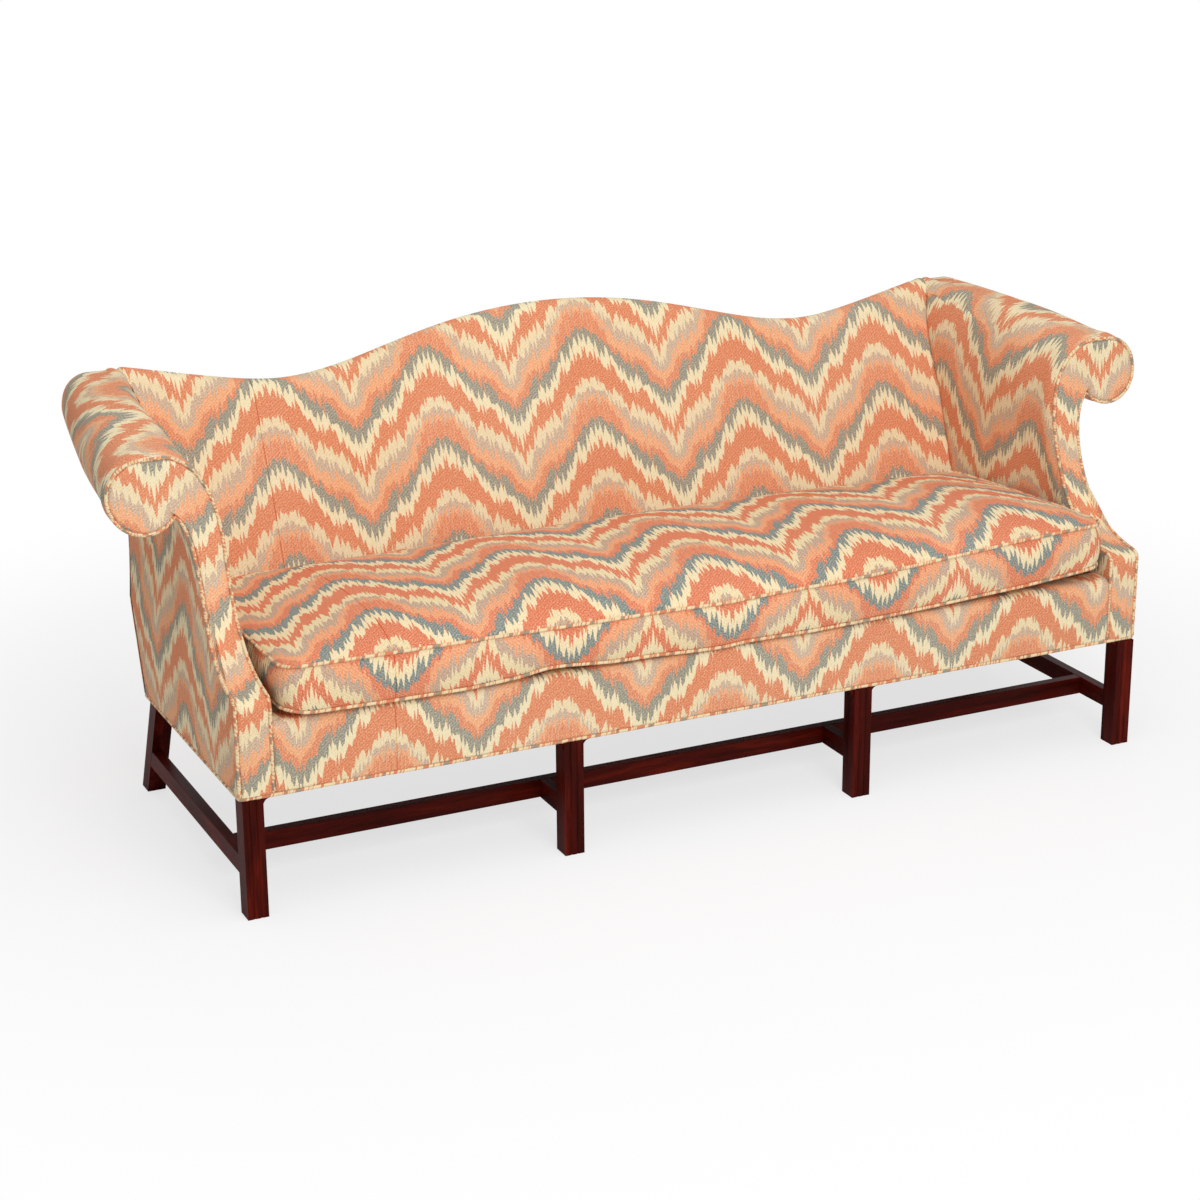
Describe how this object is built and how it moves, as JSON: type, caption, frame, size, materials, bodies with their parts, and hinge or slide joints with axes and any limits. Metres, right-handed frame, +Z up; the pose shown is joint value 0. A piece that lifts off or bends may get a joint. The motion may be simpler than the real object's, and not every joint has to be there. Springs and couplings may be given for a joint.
{
  "type": "camelback sofa",
  "caption": "Upholstered camelback sofa with rolled, swept-back arms, a loose bench cushion and a stretchered leg base.",
  "frame": {"origin": "on the floor, under the middle of the sofa's overall box", "axes": "+X across the sofa towards the sitter's left arm, -Y out of the front, +Y towards the back, +Z up"},
  "size_m": [2.295, 0.8484, 0.914],
  "materials": {
    "wood": "polished dark red-brown",
    "timber": "bare frame timber, hidden",
    "flame_stitch": "woven flame-stitch bands in coral, peach, cream, mauve and blue-grey",
    "welt_cloth": "the same woven cloth over a cord",
    "jute": "plain webbing, hidden",
    "deck_cloth": "plain cloth, hidden",
    "cambric": "thin matt cloth"
  },
  "bodies": {
    "sofa": {"front_leg_outer_right": "wood", "front_leg_outer_left": "wood", "front_leg_inner_right": "wood", "front_leg_inner_left": "wood", "rear_leg_right": "wood", "rear_leg_left": "wood", "end_stretcher_right": "wood", "end_stretcher_left": "wood", "medial_stretcher": "wood", "stub_stretcher_right": "wood", "stub_stretcher_left": "wood", "leg_bracket_outer_right": "wood", "leg_bracket_outer_left": "wood", "leg_bracket_middle_right": "wood", "leg_bracket_middle_left": "wood", "leg_bracket_inner_right": "wood", "leg_bracket_inner_left": "wood", "seat_front_rail": "timber", "seat_rear_rail": "timber", "seat_side_rail_right": "timber", "seat_side_rail_left": "timber", "seat_brace_right": "timber", "seat_brace_left": "timber", "front_corner_block_right": "timber", "front_corner_block_left": "timber", "rear_corner_block_right": "timber", "rear_corner_block_left": "timber", "back_post_right": "timber", "back_post_left": "timber", "back_top_rail": "timber", "back_lower_rail": "timber", "back_stile_right": "timber", "back_stile_left": "timber", "arm_facing_right": "flame_stitch", "arm_facing_left": "flame_stitch", "arm_facing_welt_right": "welt_cloth", "arm_facing_welt_left": "welt_cloth", "arm_board_right": "timber", "arm_board_left": "timber", "arm_top_rail_right": "timber", "arm_top_rail_left": "timber", "arm_lower_rail_right": "timber", "arm_lower_rail_left": "timber", "inside_arm_right": "flame_stitch", "inside_arm_left": "flame_stitch", "outside_arm_right": "flame_stitch", "outside_arm_left": "flame_stitch", "inside_back": "flame_stitch", "outside_back": "flame_stitch", "seat_border": "flame_stitch", "seat_deck": "deck_cloth", "seat_webbing": "jute", "dust_cover": "cambric", "bottom_welt": "welt_cloth"},
    "cushion": {"seat_cushion": "flame_stitch", "cushion_bottom_welt": "welt_cloth", "cushion_top_welt": "welt_cloth"}
  },
  "joints": [
    {"name": "cushion_lift", "type": "slide", "parent": "sofa", "child": "cushion", "axis": [0, 0, 1], "range_m": [0, 0.52]}
  ]
}
